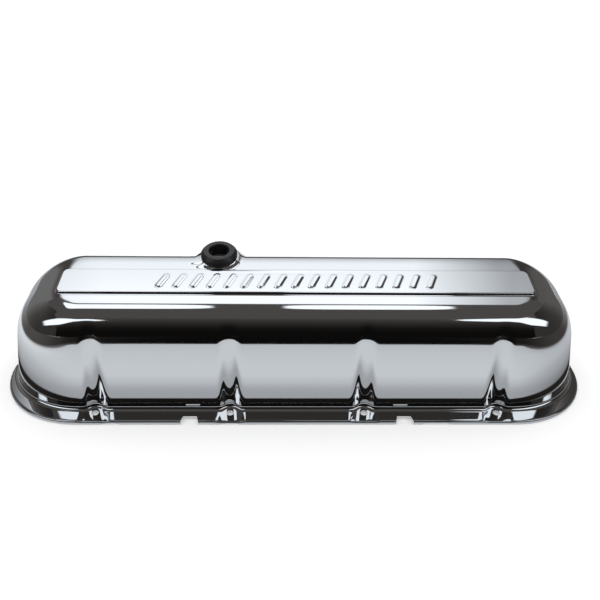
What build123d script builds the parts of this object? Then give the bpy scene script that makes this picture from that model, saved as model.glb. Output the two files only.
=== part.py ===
"""Stamped steel valve cover with its breather grommet and oil baffle.

Millimetres. +X runs along the engine, -Y is the exhaust side with four bolts, +Y is the intake side
with three, and +Z points away from the cylinder head. The origin lies in the plane on which the gasket
lip stands, in the middle of the flange.
"""
from build123d import *
from math import atan, cos, pi, radians, sin, sqrt, tan
import os

# Sheet and flange
sheet = 1.0
flange_length = 562.0
flange_width = 166.0
flange_front_corner = 81.0
flange_rear_corner = 66.0
lip_height = 4.0
lip_bend = 1.4

# Walls: a foot is the distance from the flange edge to the wall, on top of the flange
front_foot = 16.6
rear_foot = 16.6
end_foot = 4.4
front_lean = 8.5
rear_lean = 4.0
end_lean = 11.0
front_corner = 74.0
rear_corner = 52.0
root_radius = 4.0

# Crown: a plane that rises towards the intake side, with large shoulders round it
crown_tilt = 10.9
crown_height = 103.5
front_shoulder = 26.0
rear_shoulder = 30.0
end_shoulder = 57.0
shoulder_steps = 9

# Raised panel on the crown, measured along the crown from the middle of the flange
panel_front = -20.8
panel_rear = 15.2
panel_half_length = 221.0
panel_rise = 1.6
panel_corner = 7.0
panel_slope = 30.0

# Slanted ribs pressed into the panel
rib_count = 17
rib_pitch = 15.6
rib_length = 20.0
rib_breadth = 5.0
rib_rise = 0.7
rib_slant = 68.0

# Bolts, their seats, and the wrench clearances let into the walls
bolt_pitch = 122.94
front_bolts = 4
rear_bolts = 3
bolt_edge = 12.5
bolt_hole = 7.0
seat_diameter = 13.0
seat_depth = 0.5
seat_slope = 60.0
flute_foot_depth = 5.4
flute_foot_breadth = 28.0
flute_head_depth = 0.35
flute_head_breadth = 20.0
flute_top = 88.0
flute_blend = 0.25

# Gasket tab notches, and the reliefs in the lower edge of the lip
notch_spacing = 195.0
notch_depth = 7.0
notch_breadth = 16.0
notch_inner_breadth = 12.5
relief_depth = 2.2
relief_breadth = 19.0
relief_places = (-168.4, -60.7)
long_relief_place = 126.5
long_relief_breadth = 23.0
long_relief_foot = 27.0

# Breather mound and its grommet
breather_x = -75.3
breather_gap = 0.8
mound_rise = 2.4
mound_rim = 18.6
mound_slope = 50.0
mound_depth = 30.0
mound_edge = 1.2
mound_rear_edge = 5.0
grommet_diameter = 35.0
grommet_height = 7.8
grommet_neck = 31.75
grommet_tail_diameter = 35.0
grommet_tail_height = 4.2
grommet_tail_taper = 1.2
grommet_bore = 19.05
grommet_mouth = 1.5
grommet_rounding = 2.6

# Oil baffle, spot-welded under the crown
baffle_sheet = 0.8
baffle_length = 150.0
baffle_drop = 18.0
baffle_foot = 13.0
baffle_front = -32.0
baffle_foot_rear = 24.0
baffle_rear = 48.0
baffle_bend = 1.5
baffle_corner = 5.0
drain_diameter = 8.0
drain_pitch = 40.0
drain_inset = 12.0
drain_count = 3

front_edge = -flange_width / 2
rear_edge = flange_width / 2
tilt = radians(crown_tilt)
flange_underside = lip_height - sheet

# Crown plane: local X along the cover, local Y up the crown to the rear, local Z out of it
crown = Plane(origin=(0, 0, crown_height), x_dir=(1, 0, 0), z_dir=(0, -sin(tilt), cos(tilt)))
grommet_y = panel_rear + breather_gap + grommet_diameter / 2
breather = Plane(
    origin=crown.from_local_coords((breather_x, grommet_y, mound_rise)),
    x_dir=(1, 0, 0),
    z_dir=crown.z_dir,
)


def side_wall(depth, skin, side):
    """Local Y of the front (side -1) or rear (side 1) wall, a depth below the crown."""
    foot_y, lean = front_edge + front_foot, front_lean
    if side > 0:
        foot_y, lean = rear_edge - rear_foot, rear_lean
    slant = radians(lean) - side * tilt
    foot = crown.to_local_coords(Vector(0, foot_y, lip_height))
    return foot.Y + side * ((foot.Z + depth) * tan(slant) - skin / cos(slant))


def side_line(depth, skin, side):
    """Local Y of the front or rear skin, a depth below the crown: its shoulder, then its wall."""
    lean, radius = (front_lean, front_shoulder) if side < 0 else (rear_lean, rear_shoulder)
    slant = radians(lean) - side * tilt
    radius = radius - skin
    tangent = radius * (1 - sin(slant))
    if depth - skin >= tangent:
        return side_wall(depth, skin, side)
    centre = side_wall(tangent + skin, skin, side) - side * radius * cos(slant)
    return centre + side * sqrt(radius**2 - (radius - depth + skin) ** 2)


def end_wall(depth, skin, along):
    """X of the end wall, a depth below the crown and at a local Y."""
    lean = radians(end_lean)
    height = crown_height + along * sin(tilt) - depth * cos(tilt)
    return flange_length / 2 - end_foot - (height - lip_height) * tan(lean) - skin / cos(lean)


def end_line(depth, skin, along):
    """X of the end skin, a depth below the crown and at a local Y: its shoulder, then its wall."""
    slant = atan(cos(tilt) * tan(radians(end_lean)))
    radius = end_shoulder - skin
    tangent = radius * (1 - sin(slant))
    if depth - skin >= tangent:
        return end_wall(depth, skin, along)
    centre = end_wall(tangent + skin, skin, along) - radius * cos(slant)
    return centre + sqrt(radius**2 - (radius - depth + skin) ** 2)


def corner_radius(depth, skin, side):
    """Plan radius of a corner: the foot's radius less the mean way in from the foot."""
    foot_y, radius = front_edge + front_foot, front_corner
    if side > 0:
        foot_y, radius = rear_edge - rear_foot, rear_corner
    foot = crown.to_local_coords(Vector(0, foot_y, lip_height))
    in_from_side = side * (foot.Y - side_line(depth, skin, side))
    in_from_end = end_line(-foot.Z, 0, foot.Y) - end_line(depth, skin, foot.Y)
    return radius - (in_from_side + in_from_end) / 2


def crown_section(depth, skin):
    """One section of the cover, parallel to the crown and a depth below it."""
    front, rear = side_line(depth, skin, -1), side_line(depth, skin, 1)
    front_x, rear_x = end_line(depth, skin, front), end_line(depth, skin, rear)
    with BuildSketch(crown.offset(-depth)) as section:
        with BuildLine():
            Polyline((-front_x, front), (front_x, front), (rear_x, rear), (-rear_x, rear), close=True)
        make_face()
        fillet(section.vertices().group_by(Axis.Y)[0], corner_radius(depth, skin, -1))
        fillet(section.vertices().group_by(Axis.Y)[-1], corner_radius(depth, skin, 1))
    return section.sketch


def mound_form(skin):
    """The breather mound within its outer surface moved inward by skin: a cone cut off by the rear wall."""
    flank = tan(radians(mound_slope))
    rim = mound_rim - skin * tan(radians(mound_slope / 2))
    lean = radians(rear_lean)
    wall = Plane(origin=(breather_x, rear_edge - rear_foot, lip_height), z_dir=(0, cos(lean), sin(lean)))
    with BuildPart() as mound:
        with BuildSketch(Plane(breather.origin, x_dir=(1, 0, 0), z_dir=-breather.y_dir)) as half:
            with BuildLine():
                Polyline(
                    (0, -skin),
                    (rim, -skin),
                    (rim + (mound_depth - skin) / flank, -mound_depth),
                    (0, -mound_depth),
                    close=True,
                )
            make_face()
            fillet(half.vertices().group_by(Axis.Y)[-1].sort_by(Axis.X)[-1], mound_edge + sheet - skin)
        revolve(axis=Axis(breather.origin, breather.z_dir))
        split(bisect_by=wall.offset(-skin), keep=Keep.BOTTOM)
        cut = mound.faces().sort_by(Axis.Y)[-1]
        fillet(cut.edges().filter_by(GeomType.LINE, reverse=True), mound_rear_edge + sheet - skin)
    return mound.part


def cover_form(skin, bottom):
    """The solid within the cover's outer surface moved inward by skin, down to a height."""
    radius = end_shoulder - skin
    wall_depth = crown_height + (flange_width / 2 - rear_foot) * tan(tilt) + sheet
    with BuildPart() as form:
        turns = [radians(90 * step / shoulder_steps) for step in range(shoulder_steps + 1)]
        depths = [skin + radius * (1 - cos(turn)) for turn in turns]
        loft([crown_section(depth, skin) for depth in depths])
        loft([crown_section(depths[-1], skin), crown_section(wall_depth, skin)], ruled=True)
        split(bisect_by=Plane.XY.offset(bottom), keep=Keep.TOP)
        # Panel
        with BuildSketch(crown.offset(-sheet)):
            with Locations((0, (panel_front + panel_rear) / 2)):
                breadth = panel_rear - panel_front - 2 * skin * tan(radians(panel_slope))
                length = 2 * panel_half_length - 2 * skin * tan(radians(panel_slope))
                RectangleRounded(length, breadth, panel_corner)
        extrude(amount=panel_rise + sheet - skin, taper=panel_slope)
        add(mound_form(skin))
    return form.part


def flute_section(x, side, skin, height, depth, breadth):
    """Plan of a wrench clearance at a height: three arcs let into the wall, closed outside it."""
    foot, lean = (front_foot, front_lean) if side < 0 else (rear_foot, rear_lean)
    wall = side * (flange_width / 2 - foot - (height - lip_height) * tan(radians(lean)) - skin + flute_blend)
    outside = side * flange_width / 2
    turn = 2 * atan(2 * depth / breadth)
    radius = breadth / 4 / sin(turn)
    bend = -side * turn * 180 / pi
    with BuildSketch(Plane.XY.offset(height)) as section:
        with BuildLine():
            entry = JernArc((x - breadth / 2, wall), (1, 0), radius, bend)
            bottom = JernArc(entry @ 1, entry % 1, radius, -2 * bend)
            way_out = JernArc(bottom @ 1, bottom % 1, radius, bend)
            Polyline(way_out @ 1, (x + breadth / 2, outside), (x - breadth / 2, outside), entry @ 0)
        make_face()
    return section.sketch


def flute_form(x, side, skin, bottom):
    """A wrench clearance as a solid: its outer surface moved inward by skin, rounded at its lower edge."""
    foot = flute_section(x, side, skin, bottom, flute_foot_depth, flute_foot_breadth)
    head = flute_section(x, side, skin, flute_top, flute_head_depth, flute_head_breadth)
    with BuildPart() as flute:
        loft([foot, head], ruled=True)
        fillet(flute.edges().group_by(Axis.Z)[0].filter_by(GeomType.CIRCLE), root_radius + skin)
    return flute.part


os.makedirs("parts", exist_ok=True)

bolt_line = flange_width / 2 - bolt_edge
bolt_rows = {
    side: [(place - (count - 1) / 2) * bolt_pitch for place in range(count)]
    for side, count in ((-1, front_bolts), (1, rear_bolts))
}

# Cover shell: flange and lip, drawn cover, wrench clearances, holes and notches in one sheet
with BuildPart() as cover_shell:
    with BuildSketch() as flange:
        Rectangle(flange_length, flange_width)
        fillet(flange.vertices().group_by(Axis.Y)[0], flange_front_corner)
        fillet(flange.vertices().group_by(Axis.Y)[-1], flange_rear_corner)
    extrude(amount=lip_height)
    fillet(cover_shell.edges().group_by(Axis.Z)[-1], lip_bend)
    with BuildSketch():
        offset(flange.sketch, amount=-sheet)
    extrude(amount=flange_underside, mode=Mode.SUBTRACT)
    outer = cover_form(0, flange_underside)
    add(outer)
    flange_top = cover_shell.faces().filter_by(Plane.XY).filter_by_position(Axis.Z, lip_height, lip_height)
    fillet(flange_top.sort_by(SortBy.AREA)[-1].inner_wires()[0].edges(), root_radius)
    add(cover_form(sheet, -sheet), mode=Mode.SUBTRACT)
    underside = cover_shell.faces().filter_by(Plane.XY).filter_by_position(
        Axis.Z, flange_underside, flange_underside)
    fillet(underside.sort_by(SortBy.AREA)[-1].inner_wires()[0].edges(), root_radius + sheet)
    # Wrench clearances
    for side, places in bolt_rows.items():
        for x in places:
            liner = flute_form(x, side, sheet, flange_underside) & outer
            add(liner)
            add(flute_form(x, side, 0, lip_height), mode=Mode.SUBTRACT)
    # Bolt seats and holes
    for side, places in bolt_rows.items():
        bolts = [(x, side * bolt_line) for x in places]
        for height, mode in ((flange_underside, Mode.ADD), (lip_height, Mode.SUBTRACT)):
            with BuildSketch(Plane.XY.offset(height)):
                with Locations(*bolts):
                    Circle(seat_diameter / 2)
            extrude(amount=-seat_depth, taper=seat_slope, mode=mode)
        with BuildSketch():
            with Locations(*bolts):
                Circle(bolt_hole / 2)
        extrude(amount=lip_height, mode=Mode.SUBTRACT)
    # Gasket tab notches
    for side in (-1, 1):
        with BuildSketch():
            for x in (-notch_spacing / 2, notch_spacing / 2):
                edge, inner = side * (flange_width / 2 + sheet), side * (flange_width / 2 - notch_depth)
                with BuildLine():
                    Polyline(
                        (x - notch_breadth / 2, edge),
                        (x + notch_breadth / 2, edge),
                        (x + notch_inner_breadth / 2, inner),
                        (x - notch_inner_breadth / 2, inner),
                        close=True,
                    )
                make_face()
        extrude(amount=lip_height, mode=Mode.SUBTRACT)
    # Reliefs in the lower edge of the front lip
    relief_radius = (relief_breadth**2 / 4 + relief_depth**2) / (2 * relief_depth)
    with BuildSketch(Plane.XZ.offset(flange_width / 2 + sheet)):
        with Locations(*[(x, relief_depth - relief_radius) for x in relief_places]):
            Circle(relief_radius)
        with BuildLine():
            Polyline(
                (long_relief_place - long_relief_foot / 2, 0),
                (long_relief_place - long_relief_breadth / 2, relief_depth),
                (long_relief_place + long_relief_breadth / 2, relief_depth),
                (long_relief_place + long_relief_foot / 2, 0),
                close=True,
            )
        make_face()
    extrude(amount=-2 * sheet - sheet / 2, mode=Mode.SUBTRACT)
    # Breather hole
    with BuildSketch(breather.offset(sheet)):
        Circle(grommet_neck / 2)
    extrude(amount=-4 * sheet, mode=Mode.SUBTRACT)
    # Ribs pressed into the panel, raised outside and hollow inside
    for skin, mode in ((0, Mode.ADD), (sheet, Mode.SUBTRACT)):
        narrowing = 2 * skin * tan(radians(45 - panel_slope / 2))
        with BuildSketch(crown.offset(panel_rise - skin)):
            with Locations((0, (panel_front + panel_rear) / 2)):
                with GridLocations(rib_pitch, 0, rib_count, 1):
                    SlotOverall(rib_length - narrowing, rib_breadth - narrowing, rotation=rib_slant)
        extrude(amount=rib_rise, taper=panel_slope, mode=mode)

cover_shell.part.label = "cover_shell"
export_step(cover_shell.part, "parts/cover_shell.step")

# Breather grommet: head on the mound, neck in its hole, tail snapped in below
with BuildPart() as breather_grommet:
    with BuildSketch(Plane(breather.origin, x_dir=(1, 0, 0), z_dir=-breather.y_dir)) as half:
        with BuildLine():
            Polyline(
                (grommet_bore / 2, grommet_height),
                (grommet_diameter / 2, grommet_height),
                (grommet_diameter / 2, 0),
                (grommet_neck / 2, 0),
                (grommet_neck / 2, -sheet),
                (grommet_tail_diameter / 2, -sheet),
                (grommet_tail_diameter / 2 - grommet_tail_taper, -sheet - grommet_tail_height),
                (grommet_bore / 2, -sheet - grommet_tail_height),
                close=True,
            )
        make_face()
        fillet(half.vertices().group_by(Axis.Y)[-1].sort_by(Axis.X)[0], grommet_mouth)
        fillet(half.vertices().group_by(Axis.Y)[-1].sort_by(Axis.X)[-1], grommet_rounding)
    revolve(axis=Axis(breather.origin, breather.z_dir))

breather_grommet.part.label = "breather_grommet"
export_step(breather_grommet.part, "parts/breather_grommet.step")

# Oil baffle: one strip folded under the crown, its feet welded face to face to the crown's underside
with BuildPart() as oil_baffle:
    weld_origin = crown.from_local_coords((breather_x, baffle_front, -sheet))
    weld = Plane(weld_origin, x_dir=(1, 0, 0), z_dir=-crown.y_dir)
    half_length = baffle_length / 2
    with BuildSketch(weld):
        with BuildLine() as fold:
            FilletPolyline(
                (-half_length - baffle_foot, 0),
                (-half_length, 0),
                (-half_length, -baffle_drop),
                (half_length, -baffle_drop),
                (half_length, 0),
                (half_length + baffle_foot, 0),
                radius=baffle_bend,
            )
            offset(amount=baffle_sheet, side=Side.RIGHT)
        make_face()
    extrude(amount=baffle_front - baffle_foot_rear)
    floor = crown.offset(-sheet - baffle_drop)
    with BuildSketch(floor):
        with Locations((breather_x, (baffle_foot_rear + baffle_rear) / 2)):
            Rectangle(baffle_length - 2 * baffle_corner, baffle_rear - baffle_foot_rear)
    extrude(amount=-baffle_sheet)
    fillet(oil_baffle.edges().filter_by(Axis(crown.origin, crown.z_dir)).group_by(Axis.Y)[-1], baffle_corner)
    with BuildSketch(floor):
        with Locations((breather_x, baffle_front + drain_inset)):
            with GridLocations(drain_pitch, 0, drain_count, 1):
                Circle(drain_diameter / 2)
    extrude(amount=-baffle_sheet, mode=Mode.SUBTRACT)

oil_baffle.part.label = "oil_baffle"
export_step(oil_baffle.part, "parts/oil_baffle.step")
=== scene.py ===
"""Chromed valve cover with its rubber breather grommet: looks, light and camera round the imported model."""
from math import atan, atan2, cos, pi, radians, sin, tan

import bmesh
import bpy
import numpy as np
from mathutils import Matrix, Vector


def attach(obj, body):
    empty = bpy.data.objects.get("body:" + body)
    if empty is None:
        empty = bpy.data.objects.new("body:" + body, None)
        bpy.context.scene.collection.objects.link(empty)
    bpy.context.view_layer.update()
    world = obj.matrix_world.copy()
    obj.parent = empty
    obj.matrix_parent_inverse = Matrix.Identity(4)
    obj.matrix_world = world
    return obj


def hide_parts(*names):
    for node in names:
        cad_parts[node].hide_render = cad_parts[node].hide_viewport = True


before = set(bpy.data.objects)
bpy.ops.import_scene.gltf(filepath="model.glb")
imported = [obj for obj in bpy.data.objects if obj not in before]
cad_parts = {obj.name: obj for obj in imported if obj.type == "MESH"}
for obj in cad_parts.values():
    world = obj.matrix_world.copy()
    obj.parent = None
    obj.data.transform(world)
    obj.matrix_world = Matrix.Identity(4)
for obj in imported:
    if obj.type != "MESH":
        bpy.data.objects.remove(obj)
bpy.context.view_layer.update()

# Lengths in this script are millimetres, and angles are radians where no unit is named
METRES = 0.001

# Sheet, flange and lip
SHEET = 1.0
FLANGE_LENGTH = 562.0
FLANGE_WIDTH = 166.0
FLANGE_CORNERS = {-1: 81.0, 1: 66.0}
LIP_HEIGHT = 4.0
LIP_BEND = 1.4

# Walls, front (-1) and rear (1); a foot is the distance from the flange edge to the wall
FOOT = 16.6
END_FOOT = 4.4
LEAN = {-1: radians(8.5), 1: radians(4.0)}
END_LEAN = radians(11.0)
WALL_CORNERS = {-1: 74.0, 1: 52.0}
ROOT_RADIUS = 4.0
ROOT_CLEARANCE = 0.6

# The walls are drawn along lines that start deeper below the sloped crown than it is high, by WALL_DROP,
# and so below the lip all round. The root bend takes a wall's lean between its foot and LEAN_HEIGHT
WALL_DROP = 15.0
LEAN_HEIGHT = 20.0

# Crown and its shoulders
TILT = radians(10.9)
CROWN_HEIGHT = 103.5
SHOULDER = {-1: 29.4, 1: 30.0}
END_SHOULDER = 57.0

# Raised panel on the crown, measured along the crown's slope
PANEL_MIDDLE = -2.8
PANEL_HALF_LENGTH = 221.0
PANEL_HALF_BREADTH = 18.0
PANEL_CORNER = 7.0
PANEL_RISE = 1.6
STEP_INSET = 1.04
STEP_BREADTH = 1.9

# Ribs pressed into the panel
RIB_COUNT = 17
RIB_PITCH = 15.6
RIB_LENGTH = 20.0
RIB_BREADTH = 5.0
RIB_RISE = 0.7
RIB_SLANT = radians(68.0)
RIB_EDGE = 1.1

# Bolts, front (-1) and rear (1)
BOLT_PITCH = 122.94
BOLT_EDGE = 12.5
BOLT_HOLE = 3.5
BOLT_PLACES = {
    -1: [(place - 1.5) * BOLT_PITCH for place in range(4)],
    1: [(place - 1) * BOLT_PITCH for place in range(3)],
}

# Pads sunk round the bolts: PAD_RISE gives the heights on the lip between which the sinking sets in, and
# PAD_REACH how far above the flange it still acts
PAD_DEPTH = 0.6
PAD_HALF = 9.5
PAD_SLOPE = 5.5
PAD_RISE = (1.0, 3.0)
PAD_REACH = 1.5

# Wrench clearances let into the walls: depth and breadth at the foot and at the top, where they fade out
FLUTE_FOOT = (5.4, 28.0)
FLUTE_HEAD = (0.3, 20.0)
FLUTE_TOP = 86.0
FLUTE_FADE = 5.0

# Gasket tab notches, and the reliefs in the lower edge of the front lip
NOTCH_PLACE = 97.5
NOTCH_DEPTH = 7.0
NOTCH_HALF = 8.0
NOTCH_NARROWING = 1.75
LENS_PLACES = (-168.4, -60.7)
LENS_BREADTH = 19.0
RELIEF_DEPTH = 2.2
LONG_RELIEF_PLACE = 126.5
LONG_RELIEF_HALF = (11.5, 13.5)

# Breather mound and grommet, on the crown's slope
MOUND_X = -75.3
MOUND_ALONG = 33.5
MOUND_RISE = 2.4
MOUND_RIM = 18.6
MOUND_SLOPE = radians(50.0)
MOUND_BLEND = 2.2
MOUND_WALL_BLEND = 3.0
HOLE_CLEARANCE = 0.05
GROMMET_HEAD = 17.5
GROMMET_HEIGHT = 6.8
GROMMET_SHOULDER = (14.8, 3.8)
GROMMET_NECK = 15.875
GROMMET_TAIL = 4.2
GROMMET_TAIL_TAPER = 1.2
GROMMET_BORE = 9.525
GROMMET_MOUTH = 1.0
GROMMET_ROUNDING = 1.7

# Points that are tried against the mound: this far across, from this place along the crown, and down to
# this depth. A way out shorter than MOUND_LEAST means that the mound isn't there
MOUND_REACH = 42.0
MOUND_FROM = 5.0
MOUND_LOW = -40.0
MOUND_LEAST = 1.0

# How finely the shell is divided: steps round its bends, and the widths of its mesh columns
ARC_STEPS = 18
END_STEPS = 8
BEND_STEPS = 5
ROOT_STEPS = 7
WALL_STEPS = 12
WALL_GROWTH = 1.15
WALL_START = 0.4
SHOULDER_STEPS = (12, 14)
SHOULDER_JOIN = 17.4
CROWN_STEPS = 17
STEP_STEPS = 9
RIM_DEPTH = 3.1
PANEL_BORDER = 0.8
RELIEF_STEPS = 6
FLUTE_COLUMNS = (11, 1.42)
MOUND_COLUMNS = (26, 1.4)
NOTCH_BORDER = 1.2
CORNER_CLEARANCE = 1.5
COLUMN_LEAST = 0.7
COLUMN_USUAL = 6.0
COLUMN_MOST = 7.5
RIB_ROWS = 27
RIB_COLUMNS = 15
RIB_GRID_BORDER = 2.0
RIB_GRID_SPARE = 0.4

# Columns farther from the middle than this slide outward or inward with the corners
SLIDE_FROM = 150.0

# Rows of the flange, as shares of the way from the lip's bend to the root bend, one of them at the
# inner end of the notches, and the rows between which the windows for the bolt holes lie
NOTCH_SHARE = 0.4766
FLANGE_SHARES = (0.16, 0.32, NOTCH_SHARE, 0.65, 0.8, 0.93)
WINDOW_SHARES = (2, 6)
WINDOW_HALF = 6.3

# Lengths closer than this count as the same, and how often an interval is halved to find a place
TOUCH = 0.01
HALVINGS = 30

# Edges that turn more than this stay sharp
SHARP_ANGLE = radians(40)


def linear(hex_colour):
    """A colour written as sRGB hex, as Blender's linear RGBA."""
    parts = [int(hex_colour[i:i + 2], 16) / 255 for i in (1, 3, 5)]
    return [part / 12.92 if part <= 0.04045 else ((part + 0.055) / 1.055) ** 2.4 for part in parts] + [1.0]


def add_node(tree, kind, links=None, **settings):
    """One node with its settings; links gives each input a value, or the output it comes from."""
    node = tree.nodes.new(kind)
    for name, value in settings.items():
        setattr(node, name, value)
    for name, value in (links or {}).items():
        if isinstance(value, bpy.types.NodeSocket):
            tree.links.new(value, node.inputs[name])
        else:
            node.inputs[name].default_value = value
    return node


def new_material(name):
    """An empty node material and its tree."""
    material = bpy.data.materials.new(name)
    material.use_nodes = True
    material.node_tree.nodes.clear()
    return material, material.node_tree


def smooth_step(value, low, high):
    """0 below low, 1 above high, and smooth between."""
    share = np.clip((value - low) / (high - low), 0.0, 1.0)
    return share * share * (3 - 2 * share)


def smooth_max(first, second, blend):
    """The larger of two values, rounded off where they are within blend of each other."""
    share = np.clip(0.5 + 0.5 * (first - second) / blend, 0.0, 1.0)
    return second * (1 - share) + first * share + blend * share * (1 - share)


# Shape of the stamping, in crown coordinates: x, along the crown's slope, and out of it
def to_world(x, along, out):
    """Crown coordinates as world X, Y and Z."""
    x, along, out = np.broadcast_arrays(np.asarray(x, float), along, out)
    height = CROWN_HEIGHT + along * sin(TILT) + out * cos(TILT)
    return np.stack([x, along * cos(TILT) - out * sin(TILT), height], -1)


def foot_in_crown(side):
    """Where a wall's foot lies, along the crown and out of it."""
    y, z = side * (FLANGE_WIDTH / 2 - FOOT), LIP_HEIGHT - CROWN_HEIGHT
    return y * cos(TILT) + z * sin(TILT), z * cos(TILT) - y * sin(TILT)


def shoulder_line(depth, wall, slant, radius):
    """How far out a shoulder and the wall below it reach, at depths below the crown."""
    tangent = radius * (1 - sin(slant))
    reach = np.sqrt(np.maximum(radius ** 2 - (radius - np.minimum(depth, tangent)) ** 2, 0.0))
    return np.where(depth >= tangent, wall(depth), wall(tangent) - radius * cos(slant) + reach)


def side_line(depth, side):
    """Place along the crown of the front or rear surface, at a depth below it."""
    along, out = foot_in_crown(side)
    slant = LEAN[side] - side * TILT
    reach = shoulder_line(depth, lambda at: side * along + (out + at) * tan(slant), slant, SHOULDER[side])
    return side * reach


def end_line(depth, along):
    """X of the end surface at a depth below the crown and a place along it."""
    def wall(at):
        height = CROWN_HEIGHT + along * sin(TILT) - at * cos(TILT)
        return FLANGE_LENGTH / 2 - END_FOOT - (height - LIP_HEIGHT) * tan(END_LEAN)
    return shoulder_line(depth, wall, atan(cos(TILT) * tan(END_LEAN)), END_SHOULDER)


def corner_radius(depth, side):
    """Plan radius of a corner at a depth: the foot's radius less the mean way in from the foot."""
    along, out = foot_in_crown(side)
    way_in = side * (along - side_line(depth, side)) + end_line(-out, along) - end_line(depth, along)
    return WALL_CORNERS[side] - way_in / 2


def spread_marks(centre, columns, spacing):
    """X places at even spacing on both sides of a centre."""
    return [centre + spacing * step for step in range(-columns, columns + 1)]


def stations(side):
    """X places of the mesh lines along one side: close where something is formed, wide between."""
    marks = {0.0}
    for bolt in BOLT_PLACES[side]:
        marks.update(spread_marks(bolt, *FLUTE_COLUMNS))
    for notch in (-NOTCH_PLACE, NOTCH_PLACE):
        halves = (NOTCH_HALF, NOTCH_HALF + NOTCH_BORDER)
        marks.update(notch + sign * half for sign in (-1, 1) for half in halves)
    if side < 0:
        for relief in LENS_PLACES:
            marks.update(
                relief + LENS_BREADTH / 2 * step / RELIEF_STEPS
                for step in range(-RELIEF_STEPS, RELIEF_STEPS + 1)
            )
        near, far = LONG_RELIEF_HALF
        halves = (0.0, near, (near + far) / 2, far)
        marks.update(LONG_RELIEF_PLACE + sign * half for sign in (-1, 1) for half in halves)
    else:
        marks.update(spread_marks(MOUND_X, *MOUND_COLUMNS))
    limit = FLANGE_LENGTH / 2 - FLANGE_CORNERS[side]
    kept = [-limit]
    for mark in sorted(marks):
        from_notch = abs(abs(mark) - NOTCH_PLACE)
        on_notch = abs(from_notch - NOTCH_HALF) < TOUCH
        if from_notch < NOTCH_HALF - TOUCH or abs(mark) > limit - CORNER_CLEARANCE:
            continue
        if mark - kept[-1] < COLUMN_LEAST:
            if on_notch:
                kept[-1] = mark
            continue
        while mark - kept[-1] > COLUMN_MOST:
            kept.append(kept[-1] + min(COLUMN_USUAL, (mark - kept[-1]) / 2))
        kept.append(mark)
    return np.array(kept + [limit])


STATIONS = {side: stations(side) for side in (-1, 1)}


def corner_arc(start, place, radius, turns, side):
    """Points round a right-hand corner, from the end of the front side or up to that of the rear side."""
    return np.stack([start + radius * np.sin(turns), place - side * radius * (1 + side * np.cos(turns))], -1)


def rounded_outline(front, rear, radii):
    """Points of an outline with two straight sides and rounded corners, in the order of the mesh lines.

    front and rear give half the length and the place of each side. The order starts at the left of the
    front side and goes round by the right end, the rear side and the left end.
    """
    (front_x, front_y), (rear_x, rear_y) = front, rear
    turn = atan2(rear_y - front_y, rear_x - front_x)
    front_start = front_x - radii[-1] * tan(turn / 2)
    rear_start = rear_x - radii[1] * tan((pi - turn) / 2)
    front_arc = corner_arc(front_start, front_y, radii[-1], np.linspace(0, turn, ARC_STEPS + 1), -1)
    rear_arc = corner_arc(rear_start, rear_y, radii[1], np.linspace(turn, pi, ARC_STEPS + 1), 1)
    shares = np.linspace(0, 1, END_STEPS + 1)[1:-1, None]
    end = front_arc[-1] * (1 - shares) + rear_arc[0] * shares
    right = np.concatenate([front_arc[1:], end, rear_arc[:-1]])
    sides = {}
    for side, start, place in ((-1, front_start, front_y), (1, rear_start, rear_y)):
        x, limit = STATIONS[side], STATIONS[side][-1]
        slid = SLIDE_FROM + (np.abs(x) - SLIDE_FROM) * (start - SLIDE_FROM) / (limit - SLIDE_FROM)
        x = np.where(np.abs(x) > SLIDE_FROM, np.sign(x) * slid, x)
        sides[side] = np.stack([x, np.full_like(x, place)], -1)
    left = (right * (-1, 1))[::-1]
    return np.concatenate([sides[-1], right, sides[1][::-1], left])


def flange_outline(inset):
    """The flange's outline moved inward, in world X and Y."""
    half, reach = FLANGE_WIDTH / 2 - inset, FLANGE_LENGTH / 2 - inset
    radii = {side: FLANGE_CORNERS[side] - inset for side in (-1, 1)}
    return rounded_outline((reach, -half), (reach, half), radii)


def crown_outline(depth):
    """The cover's outline at a depth below the crown, in crown X and along."""
    front, rear = float(side_line(depth, -1)), float(side_line(depth, 1))
    radii = {side: float(corner_radius(depth, side)) for side in (-1, 1)}
    front_end, rear_end = float(end_line(depth, front)), float(end_line(depth, rear))
    return rounded_outline((front_end, front), (rear_end, rear), radii)


def panel_outline(inset):
    """The raised panel's outline moved inward, in crown X and along."""
    reach, half = PANEL_HALF_LENGTH - inset, PANEL_HALF_BREADTH - inset
    radii = {side: PANEL_CORNER - inset for side in (-1, 1)}
    return rounded_outline((reach, PANEL_MIDDLE - half), (reach, PANEL_MIDDLE + half), radii)


def crown_drop(x, along):
    """How far the surface lies below the crown plane at places on it, by halving an interval."""
    low, high = np.zeros_like(x), np.full_like(x, 2 * RIM_DEPTH)
    for _ in range(HALVINGS):
        depth = (low + high) / 2
        side = np.where(along < 0, -1, 1)
        line = np.where(side < 0, side_line(depth, -1), side_line(depth, 1))
        radius = np.where(side < 0, corner_radius(depth, -1), corner_radius(depth, 1))
        past_side = side * (along - line)
        past_end = np.abs(x) - end_line(depth, along)
        in_corner = (past_side > -radius) & (past_end > -radius)
        past_arc = np.hypot(past_side + radius, past_end + radius) - radius
        outside = np.where(in_corner, past_arc, np.maximum(past_side, past_end)) > 0
        low, high = np.where(outside, depth, low), np.where(outside, high, depth)
    return np.where(low < 1e-6, 0.0, low)


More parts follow.
